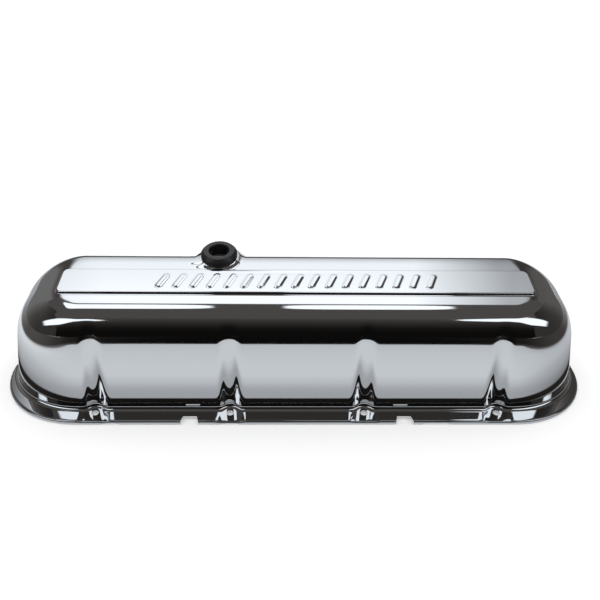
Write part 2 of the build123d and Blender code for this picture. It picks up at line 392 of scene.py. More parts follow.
def flute_depth(x, z, side):
    """How deep the wrench clearances are let into a wall: three tangent arcs in plan, shallower upward."""
    share = np.clip((z - LIP_HEIGHT) / (FLUTE_TOP - LIP_HEIGHT), 0, 1)
    depth = FLUTE_FOOT[0] * (1 - share) + FLUTE_HEAD[0] * share
    depth = depth * (1 - smooth_step(z, FLUTE_TOP - FLUTE_FADE, FLUTE_TOP + FLUTE_FADE)) + 1e-9
    breadth = FLUTE_FOOT[1] * (1 - share) + FLUTE_HEAD[1] * share
    radius = breadth / 4 / np.sin(2 * np.arctan(2 * depth / breadth))
    total = np.zeros_like(x)
    for bolt in BOLT_PLACES[side]:
        off = np.abs(x - bolt)
        inner = depth - radius + np.sqrt(np.maximum(radius ** 2 - off ** 2, 0))
        edge = np.clip(breadth / 2 - off, 0, None)
        outer = radius - np.sqrt(np.maximum(radius ** 2 - edge ** 2, 0))
        total += np.where(off < breadth / 4, inner, np.where(off < breadth / 2, outer, 0))
    return total


def let_in(points, side_of):
    """World points with the wrench clearances pressed into the front and rear walls."""
    points = points.copy()
    for side in (-1, 1):
        on = side_of == side
        points[on, 1] -= side * flute_depth(points[on, 0], points[on, 2], side)
    return points


def raise_mound(points):
    """Crown points pushed out to the breather mound: straight out on the crown, fanwise on the shoulder."""
    points = points.copy()
    flat_end = float(side_line(0.0, 1))
    near = (np.abs(points[:, 0] - MOUND_X) < MOUND_REACH) & (points[:, 1] > MOUND_FROM)
    near &= points[:, 2] > MOUND_LOW
    x, along, out = points[near].T
    centre = np.stack([np.minimum(along, flat_end), np.full_like(along, -SHOULDER[1])], -1)
    way = np.stack([along, out], -1) - centre
    reach = np.linalg.norm(way, axis=1)
    way = way / reach[:, None]
    low, high = np.zeros_like(reach), np.full_like(reach, 3 * SHOULDER[1])
    for _ in range(HALVINGS):
        at = (low + high) / 2
        place = centre + way * at[:, None]
        world = to_world(x, place[:, 0], place[:, 1])
        radius = np.hypot(x - MOUND_X, place[:, 0] - MOUND_ALONG)
        cone = (radius - MOUND_RIM) * sin(MOUND_SLOPE) + (place[:, 1] - MOUND_RISE) * cos(MOUND_SLOPE)
        wall_y, wall_z = world[:, 1] - (FLANGE_WIDTH / 2 - FOOT), world[:, 2] - LIP_HEIGHT
        wall = wall_y * cos(LEAN[1]) + wall_z * sin(LEAN[1])
        mound = smooth_max(cone, place[:, 1] - MOUND_RISE, MOUND_BLEND)
        inside = smooth_max(mound, wall, MOUND_WALL_BLEND) < 0
        low, high = np.where(inside, at, low), np.where(inside, high, at)
    reach = np.where(low > MOUND_LEAST, smooth_max(low, reach, MOUND_BLEND), reach)
    place = centre + way * reach[:, None]
    points[near] = np.stack([x, place[:, 0], place[:, 1]], -1)
    return points


def with_height(outline, z):
    """Outline points with a third coordinate: a height in the world, or the way out of the crown."""
    return np.concatenate([outline, np.broadcast_to(z, (len(outline),))[:, None]], 1)


def plan_normals(ring):
    """Outward directions in plan along a closed ring that runs anticlockwise."""
    way = np.roll(ring[:, :2], -1, 0) - np.roll(ring[:, :2], 1, 0)
    normal = np.stack([way[:, 1], -way[:, 0]], -1)
    return normal / np.linalg.norm(normal, axis=1)[:, None]


def sunk_pads(points, side_of):
    """Flange points with the bolt pads sunk across them."""
    points = points.copy()
    for side in (-1, 1):
        on = side_of == side
        for bolt in BOLT_PLACES[side]:
            off = np.abs(points[on, 0] - bolt)
            share = smooth_step(points[on, 2], *PAD_RISE) * (points[on, 2] < LIP_HEIGHT + PAD_REACH)
            points[on, 2] -= PAD_DEPTH * (1 - smooth_step(off, PAD_HALF, PAD_HALF + PAD_SLOPE)) * share
    return points


def lip_bottom(x, side_of):
    """Height of the lip's lower edge: zero, but for the reliefs in front."""
    height = np.zeros_like(x)
    radius = (LENS_BREADTH ** 2 / 4 + RELIEF_DEPTH ** 2) / (2 * RELIEF_DEPTH)
    for place in LENS_PLACES:
        arc = np.sqrt(np.maximum(radius ** 2 - (x - place) ** 2, 0)) - radius + RELIEF_DEPTH
        height = np.maximum(height, arc)
    near, far = LONG_RELIEF_HALF
    ramp = RELIEF_DEPTH * np.clip((far - np.abs(x - LONG_RELIEF_PLACE)) / (far - near), 0, 1)
    return np.where(side_of < 0, np.maximum(height, ramp), 0.0)


def between(low, high, share):
    """The points, or tints, that lie a share of the way from low to high."""
    return low * (1 - share) + high * share


def share_at(low, high, z):
    """Where on the lines from low to high a height lies, as a share."""
    return ((z - low[:, 2]) / (high[:, 2] - low[:, 2]))[:, None]


def flange_rings(low, high, side_of):
    """Rings of the lip, its bend, the flange, and the root bend that joins the flange to the walls."""
    edge = with_height(flange_outline(0.0), 0.0)
    edge[:, 2] = lip_bottom(edge[:, 0], side_of)
    rings = [edge]
    for turn in np.linspace(0, pi / 2, BEND_STEPS + 1):
        height = LIP_HEIGHT - LIP_BEND * (1 - sin(turn))
        rings.append(with_height(flange_outline(LIP_BEND * (1 - cos(turn))), height))

    # The root bend is tighter at the ends, where the flange is too narrow for its full radius
    fluted = let_in(between(low, high, share_at(low, high, LIP_HEIGHT)), side_of)
    above = let_in(between(low, high, share_at(low, high, LEAN_HEIGHT)), side_of)
    normal = plan_normals(fluted)
    lean = np.arctan(-((above - fluted)[:, :2] * normal).sum(1) / (above - fluted)[:, 2])
    gap = ((flange_outline(0.0) - fluted[:, :2]) * normal).sum(1)
    spread = np.tan((pi / 2 - lean) / 2)
    radius = np.minimum(ROOT_RADIUS, (gap - LIP_BEND - ROOT_CLEARANCE) / spread)
    root_start = fluted[:, :2] + normal * (radius * spread)[:, None]
    bend_end = rings[-1][:, :2]
    for part in FLANGE_SHARES:
        rings.append(with_height(between(bend_end, root_start, part), LIP_HEIGHT))
    for step in range(ROOT_STEPS + 1):
        turn = (pi / 2 - lean) * step / ROOT_STEPS
        plan = fluted[:, :2] + normal * (radius * (spread - np.sin(turn)))[:, None]
        rings.append(with_height(plan, LIP_HEIGHT + radius * (1 - np.cos(turn))))
    return rings


def wall_rings(low, high, foot, side_of):
    """Rings of the walls from just above their foot, then of the shoulders up to the crown's rim."""
    start = share_at(low, high, foot + WALL_START)
    rings = []
    for step in range(WALL_STEPS):
        part = start + (1 - start) * (step / WALL_STEPS) ** WALL_GROWTH
        rings.append(let_in(between(low, high, part), side_of))

    # Depths follow the turn of the end shoulders at first, and then that of the front shoulder
    radius, (end_steps, front_steps) = SHOULDER[-1], SHOULDER_STEPS
    end_turns = np.linspace(pi / 2, np.arccos(1 - SHOULDER_JOIN / END_SHOULDER), end_steps)
    join, rim = np.arccos(1 - SHOULDER_JOIN / radius), np.arccos(1 - RIM_DEPTH / radius)
    front_turns = np.linspace(join, rim, front_steps)
    depths = [END_SHOULDER * (1 - cos(turn)) for turn in end_turns]
    depths += [radius * (1 - cos(turn)) for turn in front_turns[1:]]
    for depth in depths:
        points = raise_mound(with_height(crown_outline(depth), -depth))
        rings.append(let_in(to_world(*points.T), side_of))
    return rings


def crown_rings():
    """Rings from the crown's rim in to the step of the raised panel, and up that step."""
    rim, step_foot = crown_outline(RIM_DEPTH), panel_outline(STEP_INSET - STEP_BREADTH / 2)
    plans = [(between(rim, step_foot, part), 0.0) for part in np.linspace(0, 1, CROWN_STEPS + 1)[1:]]
    for part in np.linspace(0, 1, STEP_STEPS + 1)[1:]:
        inset = STEP_INSET + STEP_BREADTH * (part - 0.5)
        plans.append((panel_outline(inset), float(smooth_step(part, 0, 1))))
    plans.append((panel_outline(STEP_INSET + STEP_BREADTH / 2 + PANEL_BORDER), 1.0))
    rings = []
    for plan, lift in plans:
        drop = crown_drop(plan[:, 0], plan[:, 1])
        points = with_height(plan, lift * PANEL_RISE - (1 - lift) * drop)
        rings.append(to_world(*raise_mound(points).T))
    return rings


def shell_rings():
    """Rings of points from the lip's lower edge up to the raised panel, and the side each column is on."""
    count = {side: len(STATIONS[side]) for side in (-1, 1)}
    ends = 2 * ARC_STEPS + END_STEPS - 1
    side_of = np.concatenate([np.full(count[-1], -1), np.zeros(ends), np.full(count[1], 1), np.zeros(ends)])

    # Each column's wall line, from below the flange up to where the end shoulders start
    below = CROWN_HEIGHT + WALL_DROP
    low = to_world(*crown_outline(below).T, -below)
    high = to_world(*crown_outline(END_SHOULDER).T, -END_SHOULDER)
    flange = flange_rings(low, high, side_of)
    walls = wall_rings(low, high, flange[-1][:, 2], side_of)
    return [sunk_pads(ring, side_of) for ring in flange] + walls + crown_rings(), side_of


def mesh_object(name, vertices, faces, material):
    """A smooth-shaded mesh object from millimetre points."""
    mesh = bpy.data.meshes.new(name)
    mesh.from_pydata([tuple(point) for point in np.asarray(vertices) * METRES], [], faces)
    mesh.materials.append(material)
    mesh.shade_smooth()
    thing = bpy.data.objects.new(name, mesh)
    bpy.context.scene.collection.objects.link(thing)
    return thing


def ring_faces(first, second, skip=()):
    """Quads between two closed rings of vertex numbers, leaving out the places in skip."""
    count = len(first)
    pairs = [(place, (place + 1) % count) for place in range(count) if place not in skip]
    return [(first[a], first[b], second[b], second[a]) for a, b in pairs]


def ring_numbers(rings):
    """Vertex numbers of rings whose points are listed one ring after another."""
    count = len(rings[0])
    return [[ring * count + place for place in range(count)] for ring in range(len(rings))]


def grid_faces(rows, columns):
    """Quads of a grid of points listed row by row."""
    return [(r * columns + c, r * columns + c + 1, (r + 1) * columns + c + 1, (r + 1) * columns + c)
            for r in range(rows - 1) for c in range(columns - 1)]


def rib_grid():
    """A fine grid on the panel for the ribs, its columns slanted as they are, in crown X and along."""
    half_rows = RIB_LENGTH * sin(RIB_SLANT) / 2 + RIB_GRID_BORDER
    along = np.linspace(-half_rows, half_rows, RIB_ROWS)
    across = np.linspace(-0.5, 0.5, RIB_COLUMNS * RIB_COUNT + 1) * RIB_PITCH * (RIB_COUNT + RIB_GRID_SPARE)
    x = across[None, :] + along[:, None] / tan(RIB_SLANT)
    return np.stack([x, np.broadcast_to(along[:, None] + PANEL_MIDDLE, x.shape)], -1)


def add_rib_grid(vertices):
    """Adds the rib grid's points; gives its faces, and the loop of points round it."""
    grid = rib_grid()
    rows, columns = grid.shape[:2]
    base = len(vertices)
    vertices += list(to_world(grid[..., 0].ravel(), grid[..., 1].ravel(), PANEL_RISE))
    faces = [tuple(base + place for place in face) for face in grid_faces(rows, columns)]
    number = base + np.arange(rows * columns).reshape(rows, columns)
    border = [*number[0, :-1], *number[:-1, -1], *number[-1, :0:-1], *number[:0:-1, 0]]
    return faces, [int(place) for place in border]


def narrow_notches(vertices, numbers, x, side_of):
    """Leans the sides of the notches inward along the rings given, from the lip to their inner end."""
    for place in np.nonzero(np.abs(np.abs(np.abs(x) - NOTCH_PLACE) - NOTCH_HALF) < TOUCH)[0]:
        if side_of[place] == 0:
            continue
        toward = np.sign(np.sign(x[place]) * NOTCH_PLACE - x[place])
        for ring in numbers:
            point = vertices[ring[place]]
            inset = FLANGE_WIDTH / 2 - abs(point[1])
            point[0] = x[place] + toward * NOTCH_NARROWING * inset / NOTCH_DEPTH


def bolt_windows(x, side_of):
    """Each bolt hole's centre, and the first and last column of the window that is left round it."""
    windows = []
    for side, places in BOLT_PLACES.items():
        for bolt in places:
            inside = np.nonzero((side_of == side) & (np.abs(x - bolt) < WINDOW_HALF))[0]
            windows.append((bolt, side * (FLANGE_WIDTH / 2 - BOLT_EDGE), inside.min(), inside.max()))
    return windows


def round_bolt_holes(vertices, numbers, windows):
    """Adds a true circle in each window; gives the quads that join it to the window's edge."""
    faces = []
    for bolt, row, start, end in windows:
        loop = [numbers[0][place] for place in range(start, end)]
        loop += [ring[end] for ring in numbers[:-1]]
        loop += [numbers[-1][place] for place in range(end, start, -1)]
        loop += [ring[start] for ring in numbers[:0:-1]]
        hole = []
        for number in loop:
            way = vertices[number][:2] - (bolt, row)
            x, y = (bolt, row) + way / np.linalg.norm(way) * BOLT_HOLE
            hole.append(len(vertices))
            vertices.append(np.array([x, y, LIP_HEIGHT - PAD_DEPTH]))
        faces += ring_faces(loop, hole)
    return faces


def open_breather_hole(vertices, faces):
    """Draws the edge of the breather hole to a true circle; gives the faces that are left round it."""
    centre = to_world(MOUND_X, MOUND_ALONG, MOUND_RISE)
    crown_x, crown_along = np.array([1.0, 0, 0]), np.array([0, cos(TILT), sin(TILT)])
    points = np.array(vertices)
    offset = np.stack([(points - centre) @ crown_x, (points - centre) @ crown_along], -1)
    radius = np.hypot(*offset.T)
    hole = GROMMET_NECK + HOLE_CLEARANCE
    gone = set(np.nonzero((points[:, 2] > CROWN_HEIGHT) & (radius < hole))[0].tolist())
    cut = [face for face in faces if gone.intersection(face)]
    for number in set(sum(cut, ())) - gone:
        way = offset[number] / radius[number] * hole
        vertices[number] = centre + way[0] * crown_x + way[1] * crown_along
    return [face for face in faces if not gone.intersection(face)]


def shell_mesh():
    """The stamping's outer surface: its points and faces, and the two loops round the gap at the ribs."""
    rings, side_of = shell_rings()
    vertices = list(np.concatenate(rings))
    numbers = ring_numbers(rings)
    x = rings[0][:, 0]
    middle = (x + np.roll(x, -1)) / 2
    in_notch = (np.abs(np.abs(middle) - NOTCH_PLACE) < NOTCH_HALF) & (side_of != 0)
    flange_row = 1 + BEND_STEPS
    notch_end = flange_row + 1 + FLANGE_SHARES.index(NOTCH_SHARE)
    narrow_notches(vertices, numbers[:notch_end + 1], x, side_of)
    first, last = (flange_row + share for share in WINDOW_SHARES)
    windows = bolt_windows(x, side_of)
    faces = []
    for ring in range(len(rings) - 1):
        skip = set(np.nonzero(in_notch)[0].tolist()) if ring < notch_end else set()
        if first <= ring < last:
            for _, _, start, end in windows:
                skip.update(range(start, end))
        faces += ring_faces(numbers[ring], numbers[ring + 1], skip)
    faces += round_bolt_holes(vertices, numbers[first:last + 1], windows)
    faces = open_breather_hole(vertices, faces)
    grid, grid_edge = add_rib_grid(vertices)
    faces = [tuple(int(number) for number in face) for face in faces + grid]
    return vertices, faces, numbers[-1], grid_edge


def fill_between(thing, outer, inner):
    """Fills a flat ring-shaped gap of a mesh between two loops of vertices."""
    form = bmesh.new()
    form.from_mesh(thing.data)
    form.verts.ensure_lookup_table()
    edges = []
    for loop in (outer, inner):
        for start, end in zip(loop, loop[1:] + loop[:1]):
            pair = (form.verts[start], form.verts[end])
            edges.append(form.edges.get(pair) or form.edges.new(pair))
    normal = Vector((0, -sin(TILT), cos(TILT)))
    made = bmesh.ops.triangle_fill(form, use_beauty=True, use_dissolve=False, edges=edges, normal=normal)
    for item in made["geom"]:
        if isinstance(item, bmesh.types.BMFace):
            item.smooth = True
            item.normal_update()
            if item.normal.dot(normal) < 0:
                item.normal_flip()
    loose = [vertex for vertex in form.verts if not vertex.link_faces]
    bmesh.ops.delete(form, geom=loose, context="VERTS")
    form.to_mesh(thing.data)
    form.free()


def pressed_ribs():
    """Geometry Nodes tree that presses a row of slanted ribs into a panel lying in the crown plane."""
    tree = bpy.data.node_groups.new("pressed_ribs", "GeometryNodeTree")
    tree.interface.new_socket("Geometry", in_out="INPUT", socket_type="NodeSocketGeometry")
    sizes = {
        "Half row": RIB_COUNT * RIB_PITCH / 2 * METRES,
        "Half pitch": RIB_PITCH / 2 * METRES,
        "Half spine": (RIB_LENGTH - RIB_BREADTH) / 2 * METRES,
        "Rib foot": (RIB_BREADTH + RIB_EDGE) / 2 * METRES,
        "Rib top": (RIB_BREADTH - RIB_EDGE) / 2 * METRES,
        "Rise": RIB_RISE * METRES,
        "Slant": RIB_SLANT,
    }
    for name, size in sizes.items():
        socket = tree.interface.new_socket(name, in_out="INPUT", socket_type="NodeSocketFloat")
        socket.default_value = size
    tree.interface.new_socket("Finish", in_out="INPUT", socket_type="NodeSocketMaterial")
    tree.interface.new_socket("Geometry", in_out="OUTPUT", socket_type="NodeSocketGeometry")
    given = add_node(tree, "NodeGroupInput").outputs

    # Place on the panel: turned flat about the crown's origin, then into the nearest rib's own cell
    place = add_node(tree, "GeometryNodeInputPosition").outputs["Position"]
    level = add_node(tree, "ShaderNodeVectorRotate", {
        "Vector": place, "Center": (0, 0, CROWN_HEIGHT * METRES), "Angle": -TILT}, rotation_type="X_AXIS")
    flat = add_node(tree, "ShaderNodeSeparateXYZ", {"Vector": level.outputs["Vector"]}).outputs
    low = add_node(tree, "ShaderNodeMath", {0: given["Half pitch"], 1: -1.0}, operation="MULTIPLY").outputs[0]
    along_row = add_node(tree, "ShaderNodeMath", {
        0: flat["X"], 1: low, 2: given["Half pitch"]}, operation="WRAP").outputs[0]
    across_row = add_node(tree, "ShaderNodeMath", {
        0: flat["Y"], 1: PANEL_MIDDLE * METRES}, operation="SUBTRACT").outputs[0]
    cell = add_node(tree, "ShaderNodeCombineXYZ", {"X": along_row, "Y": across_row})
    back = add_node(tree, "ShaderNodeMath", {0: given["Slant"], 1: -1.0}, operation="MULTIPLY").outputs[0]
    turned = add_node(tree, "ShaderNodeVectorRotate", {
        "Vector": cell.outputs["Vector"], "Angle": back}, rotation_type="Z_AXIS")
    own = add_node(tree, "ShaderNodeSeparateXYZ", {"Vector": turned.outputs["Vector"]}).outputs

    # Distance from the rib's spine, and the smooth rise that it gives
    length = add_node(tree, "ShaderNodeMath", {0: own["X"]}, operation="ABSOLUTE").outputs[0]
    past = add_node(tree, "ShaderNodeMath", {
        0: length, 1: given["Half spine"]}, operation="SUBTRACT").outputs[0]
    past = add_node(tree, "ShaderNodeMath", {0: past, 1: 0.0}, operation="MAXIMUM").outputs[0]
    off = add_node(tree, "ShaderNodeCombineXYZ", {"X": past, "Y": own["Y"]}).outputs["Vector"]
    distance = add_node(tree, "ShaderNodeVectorMath", {0: off}, operation="LENGTH").outputs["Value"]
    rise = add_node(tree, "ShaderNodeMapRange", {
        "Value": distance, "From Min": given["Rib foot"], "From Max": given["Rib top"], "To Min": 0.0,
        "To Max": given["Rise"]}, interpolation_type="SMOOTHSTEP").outputs["Result"]
    reach = add_node(tree, "ShaderNodeMath", {0: flat["X"]}, operation="ABSOLUTE").outputs[0]
    in_row = add_node(tree, "ShaderNodeMath", {
        0: reach, 1: given["Half row"]}, operation="LESS_THAN").outputs[0]
    rise = add_node(tree, "ShaderNodeMath", {0: rise, 1: in_row}, operation="MULTIPLY").outputs[0]
    lift = add_node(tree, "ShaderNodeVectorMath", {
        0: (0, -sin(TILT), cos(TILT)), "Scale": rise}, operation="SCALE")
    pressed = add_node(tree, "GeometryNodeSetPosition", {
        "Geometry": given["Geometry"], "Offset": lift.outputs["Vector"]})
    real = add_node(tree, "GeometryNodeRealizeInstances", {"Geometry": pressed.outputs["Geometry"]})
    finish = add_node(tree, "GeometryNodeSetMaterial", {
        "Geometry": real.outputs["Geometry"], "Material": given["Finish"]})
    add_node(tree, "NodeGroupOutput", {"Geometry": finish.outputs["Geometry"]})
    return tree


def settle(thing):
    """Turns a piece's modifiers into plain mesh."""
    bpy.context.view_layer.update()
    evaluated = thing.evaluated_get(bpy.context.evaluated_depsgraph_get())
    mesh = bpy.data.meshes.new_from_object(evaluated)
    thing.modifiers.clear()
    thing.data = mesh
    mesh.name = thing.name


def turned_ring(name, profile, origin, material, steps=128):
    """A closed ring turned from a profile of radius and height, standing on the crown's slope."""
    turns = np.arange(steps) * 2 * pi / steps
    rings = []
    for radius, height in profile:
        x, along = origin[0] + radius * np.cos(turns), origin[1] + radius * np.sin(turns)
        rings.append(to_world(x, along, origin[2] + height))
    numbers = ring_numbers(rings)
    faces = []
    for ring in range(len(rings)):
        faces += ring_faces(numbers[ring], numbers[(ring + 1) % len(rings)])
    return mesh_object(name, np.concatenate(rings), faces, material)


def rounded(start, corner, end, radius, steps=8):
    """The arc that rounds the corner between two straight runs of a profile."""
    start, corner, end = (np.array(point, float) for point in (start, corner, end))
    to_start, to_end = start - corner, end - corner
    to_start, to_end = to_start / np.linalg.norm(to_start), to_end / np.linalg.norm(to_end)
    half = np.arccos(np.clip(to_start @ to_end, -1, 1)) / 2
    middle = (to_start + to_end) / np.linalg.norm(to_start + to_end)
    centre = corner + middle * radius / sin(half)
    first, last = corner + to_start * radius / tan(half), corner + to_end * radius / tan(half)
    arms = (first - centre) / radius, (last - centre) / radius
    sweep = np.arccos(np.clip(arms[0] @ arms[1], -1, 1))
    points = []
    for share in np.linspace(0, 1, steps + 1):
        way = (arms[0] * sin((1 - share) * sweep) + arms[1] * sin(share * sweep)) / sin(sweep)
        points.append(tuple(centre + radius * way))
    return points


# Decorative chromium plate over polished nickel: a neutral mirror with a faint cold tint and buffing haze
chrome, tree = new_material("chromium_plate")
place = add_node(tree, "ShaderNodeTexCoord").outputs["Object"]
haze = add_node(tree, "ShaderNodeTexNoise", {"Vector": place, "Scale": 35.0, "Detail": 3.0})
rough = add_node(tree, "ShaderNodeMapRange", {"Value": haze.outputs["Fac"], "To Min": 0.02, "To Max": 0.06})
shader = add_node(tree, "ShaderNodeBsdfPrincipled", {
    "Base Color": linear("#DADCDE"), "Metallic": 1.0, "Roughness": rough.outputs["Result"]})
add_node(tree, "ShaderNodeOutputMaterial", {"Surface": shader.outputs["BSDF"]})

# Moulded nitrile rubber: near black, satin, slightly grainy from its mould
rubber, tree = new_material("moulded_rubber")
place = add_node(tree, "ShaderNodeTexCoord").outputs["Object"]
grain = add_node(tree, "ShaderNodeTexNoise", {"Vector": place, "Scale": 900.0, "Detail": 2.0})
bump = add_node(tree, "ShaderNodeBump", {
    "Height": grain.outputs["Fac"], "Strength": 0.15, "Distance": 0.0002})
shader = add_node(tree, "ShaderNodeBsdfPrincipled", {
    "Base Color": linear("#1B1B1C"), "Roughness": 0.38, "Normal": bump.outputs["Normal"]})
add_node(tree, "ShaderNodeOutputMaterial", {"Surface": shader.outputs["BSDF"]})

# Cold-rolled sheet steel, oiled: grey, rolled along its length
steel, tree = new_material("cold_rolled_steel")
place = add_node(tree, "ShaderNodeTexCoord").outputs["Object"]
stretch = add_node(tree, "ShaderNodeMapping", {"Vector": place, "Scale": (20.0, 900.0, 900.0)})
streaks = add_node(tree, "ShaderNodeTexNoise", {
    "Vector": stretch.outputs["Vector"], "Scale": 1.0, "Detail": 3.0})
rough = add_node(tree, "ShaderNodeMapRange", {
    "Value": streaks.outputs["Fac"], "To Min": 0.28, "To Max": 0.45})
shader = add_node(tree, "ShaderNodeBsdfPrincipled", {
    "Base Color": linear("#A3A29E"), "Metallic": 1.0, "Roughness": rough.outputs["Result"]})
add_node(tree, "ShaderNodeOutputMaterial", {"Surface": shader.outputs["BSDF"]})

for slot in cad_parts["oil_baffle"].material_slots:
    slot.material = steel

# The stamping: its outer surface, the ribs pressed into it, then the thickness of the sheet
vertices, faces, panel_edge, grid_edge = shell_mesh()
shell = mesh_object("chromed_shell", vertices, faces, chrome)
fill_between(shell, panel_edge, grid_edge)
ribs = shell.modifiers.new("ribs", "NODES")
ribs.node_group = pressed_ribs()
for socket in ribs.node_group.interface.items_tree:
    if socket.in_out == "INPUT" and socket.name == "Finish":
        ribs[socket.identifier] = chrome
gauge = shell.modifiers.new("gauge", "SOLIDIFY")
gauge.thickness = SHEET * METRES
gauge.offset = -1.0
settle(shell)
shell.data.shade_smooth()
shell.data.set_sharp_from_angle(angle=SHARP_ANGLE)
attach(shell, "root")
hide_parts("cover_shell")

# Breather grommet, turned: snap-in tail, neck, and a head with a sloped shoulder round its mouth
tail_end = -SHEET - GROMMET_TAIL
head_foot = (GROMMET_HEAD, 0.0)
head_rim = (GROMMET_HEAD, GROMMET_SHOULDER[1])
crest = (GROMMET_SHOULDER[0], GROMMET_HEIGHT)
mouth = (GROMMET_BORE, GROMMET_HEIGHT)
bore_end = (GROMMET_BORE, tail_end)
profile = [bore_end, (GROMMET_HEAD - GROMMET_TAIL_TAPER, tail_end), (GROMMET_HEAD, -SHEET)]
profile += [(GROMMET_NECK, -SHEET), (GROMMET_NECK, 0.0), head_foot]
profile += rounded(head_foot, head_rim, crest, GROMMET_ROUNDING)
profile += rounded(head_rim, crest, mouth, GROMMET_ROUNDING)
profile += rounded(crest, mouth, bore_end, GROMMET_MOUTH)
grommet = turned_ring("rubber_grommet", profile, (MOUND_X, MOUND_ALONG, MOUND_RISE), rubber)
grommet.data.set_sharp_from_angle(angle=SHARP_ANGLE)
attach(grommet, "root")
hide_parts("breather_grommet")

# Camera, from the bolt row and flange corners of the photograph (millimetres and degrees)
CAMERA_PLACE = (-12.43, -536.9, 400.96)
CAMERA_PITCH = 30.69
CAMERA_ROLL = 1.05
CAMERA_YAW = 1.6
FOCAL_PIXELS = 657.4
FRAME_PIXELS = 600.0
SENSOR = 36.0
yaw, pitch, roll = radians(CAMERA_YAW), radians(CAMERA_PITCH), radians(CAMERA_ROLL)
look = Vector((sin(yaw) * cos(pitch), cos(yaw) * cos(pitch), -sin(pitch)))
right = Vector((cos(yaw), -sin(yaw), 0.0))
up = right.cross(look)
right, up = right * cos(roll) + up * sin(roll), up * cos(roll) - right * sin(roll)
camera = bpy.data.objects.new("camera", bpy.data.cameras.new("camera"))
bpy.context.scene.collection.objects.link(camera)
stand = Matrix.Translation(Vector(CAMERA_PLACE) * METRES)
camera.matrix_world = stand @ Matrix((right, up, -look)).transposed().to_4x4()
camera.data.sensor_width = SENSOR
camera.data.lens = SENSOR * FOCAL_PIXELS / FRAME_PIXELS
bpy.context.scene.camera = camera

# Studio: a tent of light round the cover, that only mirror reflections see
# Elevations are degrees from the rear horizon over the top (90) to the front horizon (180)
TENT_RADIUS = 1600.0
TENT_HALF = 1700.0
TENT_CENTRE = (-40.0, 90.0)
TENT_ELEVATIONS = (-8, 188)

# Share of the light that the chrome's base colour reflects
CHROME_REFLECTS = 0.70

# Level of the white lights, and how much of their outline is soft
WHITE = 255
SOFT_EDGE = 0.2

# Dim light is tinted warm and bright light cold, with a smooth change between two emissions
WARM_TINT = (1.1, 1.0, 0.93)
COLD_TINT = (0.968, 1.0, 1.035)
TINT_CHANGE = (0.02, 0.3)

# Two light panels above, by their left and right ends, and their elevations
PANELS = ((-960, -240), (-20, 560))
PANEL_ELEVATIONS = (57.5, 77.5)

# A wing on each side in front: where it starts, and its lower and upper elevation at full breadth
WINGS = {-1: (600, 110, 136), 1: (560, 103, 133)}
WING_LENGTH = 900.0

# Light levels (0 to 255) as the chrome shows them, or shares of them: places, then the level at each
OVERHEAD_LEVELS = ([60, 112, 120, 130, 138, 150, 165, 190], [68, 68, 55, 42, 33, 18, 11, 11])
SWEEP_LEVELS = ([-8, 9, 12, 17, 27, 33, 41, 49, 53], [40, 45, 185, 190, 206, 220, 228, 242, 258])
SWEEP_SHARES = ([-900, -750, -600, 420, 506, 641, 744], [0.9, 0.95, 1, 1, 0.92, 0.79, 0.67])
SWEEP_SIDES = (780, 1000)
SWEEP_TOP = (53.0, 55.5)
CLOTH_LEVELS = ([-1400, -1150, 1150, 1400], [100, 60, 50, 78])
END_PLACES = [-800, -200, 300, 900]
END_LEVELS = {-1: [45, 48, 62, 100], 1: [45, 45, 52, 80]}
END_SHARES = ([0, 25, 70], [1, 1, 0.5])


def grey(level):
    """The emission that the chrome shows as an sRGB level from 0 to 255."""
    share = np.asarray(level, float) / 255
    return np.where(share <= 0.04045, share / 12.92, ((share + 0.055) / 1.055) ** 2.4) / CHROME_REFLECTS


def panel_share(x, rise, left, right, low, high):
    """Share of a soft light panel's glow at places on the tent, its outline a flat oval."""
    across = np.abs((2 * x - left - right) / (right - left)) ** 4
    return smooth_step(1 - across - np.abs((2 * rise - low - high) / (high - low)) ** 4, 0, SOFT_EDGE)


def wing_share(x, rise, side):
    """Share of a front wing's glow: a band that starts pointed and broadens towards the tent's end."""
    start, low, high = WINGS[side]
    breadth = np.clip((side * x - start) / WING_LENGTH, 1e-6, 1) ** 0.5
    across = np.abs(2 * rise - low - high) / (high - low) / breadth
    return smooth_step(1 - across, 0, SOFT_EDGE) * (side * x > start)


def lit(glow, share):
    """A glow with a white light laid over a share of it."""
    return glow * (1 - share) + grey(WHITE) * share


def tent_glow(x, rise):
    """Light given off by the tent at places along X and elevations."""
    glow = grey(np.interp(rise, *OVERHEAD_LEVELS))

    # White sweep behind, dark near the floor, and darker cloth beyond its two sides
    sweep = grey(np.interp(rise, *SWEEP_LEVELS) * np.interp(x, *SWEEP_SHARES))
    cloth = grey(np.interp(x, *CLOTH_LEVELS))
    outer = smooth_step(np.abs(x), *SWEEP_SIDES)
    back = 1 - smooth_step(rise, *SWEEP_TOP)
    glow = glow * (1 - back) + (sweep * (1 - outer) + cloth * outer) * back
    for left, right in PANELS:
        glow = lit(glow, panel_share(x, rise, left, right, *PANEL_ELEVATIONS))
    for side in WINGS:
        glow = lit(glow, wing_share(x, rise, side))
    return glow


def end_glow(side, place, rise, share):
    """Light given off by an end of the tent: cloth, darker in front, with the outer part of a wing on it."""
    level = np.interp(place, END_PLACES, END_LEVELS[side])
    return lit(grey(level * np.interp(rise, *END_SHARES)), share)


